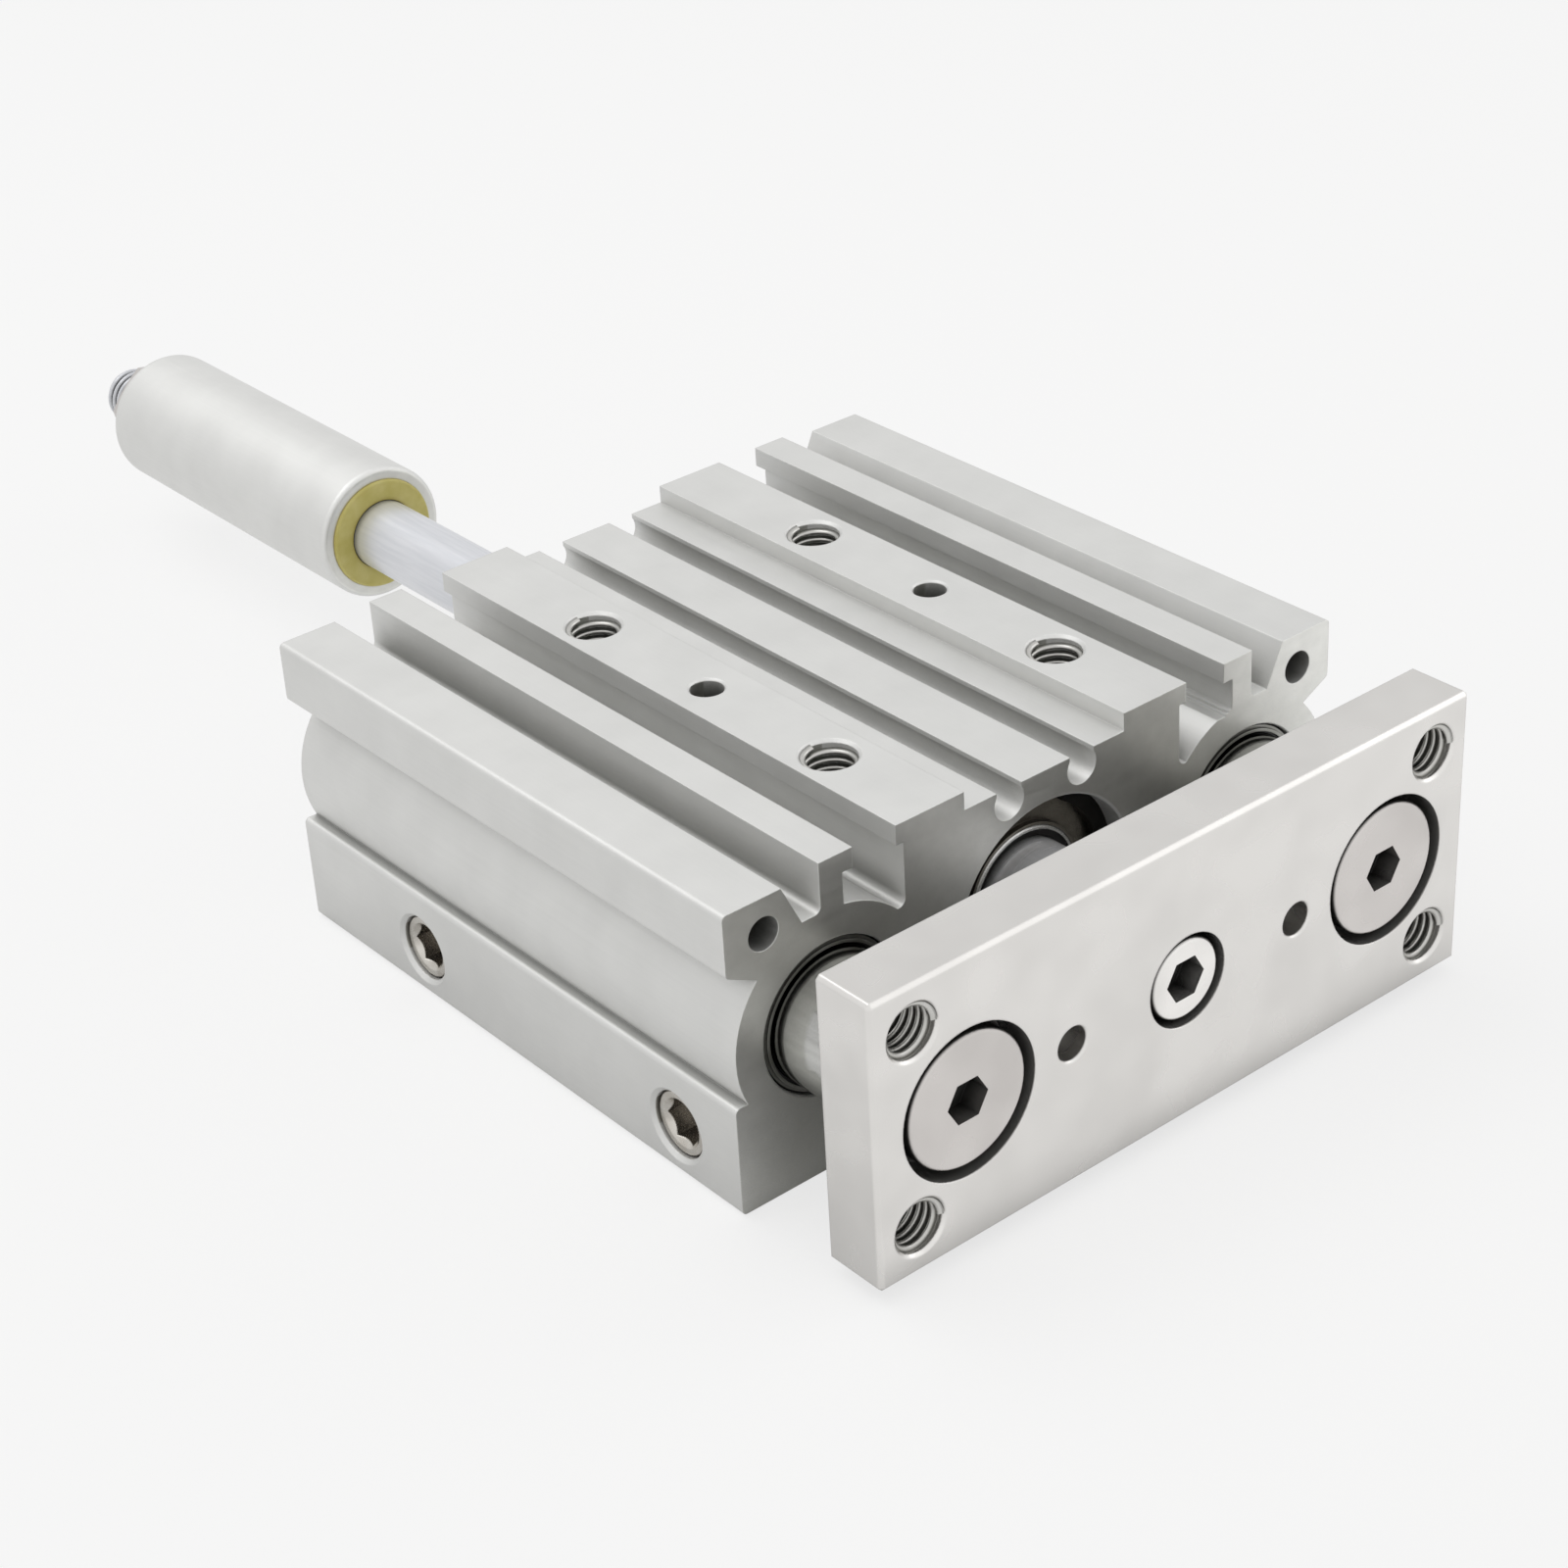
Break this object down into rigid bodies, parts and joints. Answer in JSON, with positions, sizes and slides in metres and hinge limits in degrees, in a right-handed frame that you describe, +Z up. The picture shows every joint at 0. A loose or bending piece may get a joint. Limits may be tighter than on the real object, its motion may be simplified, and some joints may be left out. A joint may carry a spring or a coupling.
{
  "type": "guided pneumatic cylinder",
  "caption": "Compact pneumatic cylinder with guide rods beside the piston, a flat end plate in front, a slotted housing and a tail rod with a tubular stroke stop.",
  "frame": {"origin": "middle of the housing's underside, the flat side opposite the T-slots", "axes": "+X across the two guide rods, +Y along the stroke from the end plate towards the stroke stop, +Z up from the underside to the slotted side"},
  "size_m": [0.112, 0.277, 0.048],
  "materials": {
    "anodised": "clear matt anodised extrusion",
    "cover_aluminium": "turned",
    "plug_brass": "nickel plated",
    "spring_steel": "phosphated",
    "retainer_aluminium": "turned, dull",
    "scraper_steel": "bright rolled",
    "bronze": "sintered bronze",
    "plate_nickel": "ground and nickel plated",
    "screw_steel": "nickel plated",
    "rod_chrome": "hard chrome",
    "magnet": "rubber magnet",
    "urethane": "satin urethane",
    "nitrile": "satin rubber"
  },
  "bodies": {
    "housing": {"cylinder_body": "anodised", "side_plugs": "plug_brass", "rod_cover": "cover_aluminium", "rear_cover": "cover_aluminium", "rod_cover_snap_ring": "spring_steel", "rear_cover_snap_ring": "spring_steel", "rod_cover_o_ring": "nitrile", "rear_cover_o_ring": "nitrile", "rod_wiper": "nitrile", "tail_rod_wiper": "nitrile", "rod_scraper": "scraper_steel", "tail_rod_scraper": "scraper_steel", "rod_bush": "bronze", "tail_rod_bush": "bronze", "front_bumper": "urethane", "rear_bumper": "urethane", "guide_bush_front_left": "bronze", "guide_bush_rear_left": "bronze", "guide_retainer_left": "retainer_aluminium", "guide_wiper_left": "nitrile", "guide_bush_front_right": "bronze", "guide_bush_rear_right": "bronze", "guide_retainer_right": "retainer_aluminium", "guide_wiper_right": "nitrile"},
    "slide": {"end_plate": "plate_nickel", "guide_rod_left": "rod_chrome", "guide_rod_right": "rod_chrome", "guide_rod_screws": "screw_steel", "piston_rod": "rod_chrome", "piston_rod_screw": "screw_steel", "piston": "cover_aluminium", "piston_seal": "nitrile", "piston_magnet": "magnet", "tail_rod": "rod_chrome"},
    "stroke_stop": {"stop_tube": "anodised", "stop_bumper": "urethane", "stop_lock_nut": "screw_steel"}
  },
  "joints": [
    {"name": "stroke", "type": "slide", "parent": "housing", "child": "slide", "axis": [0, -1, 0], "range_m": [-0.0065, 0.038]},
    {"name": "stop_setting", "type": "slide", "parent": "slide", "child": "stroke_stop", "axis": [0, -1, 0], "range_m": [-0.005, 0.022]}
  ]
}
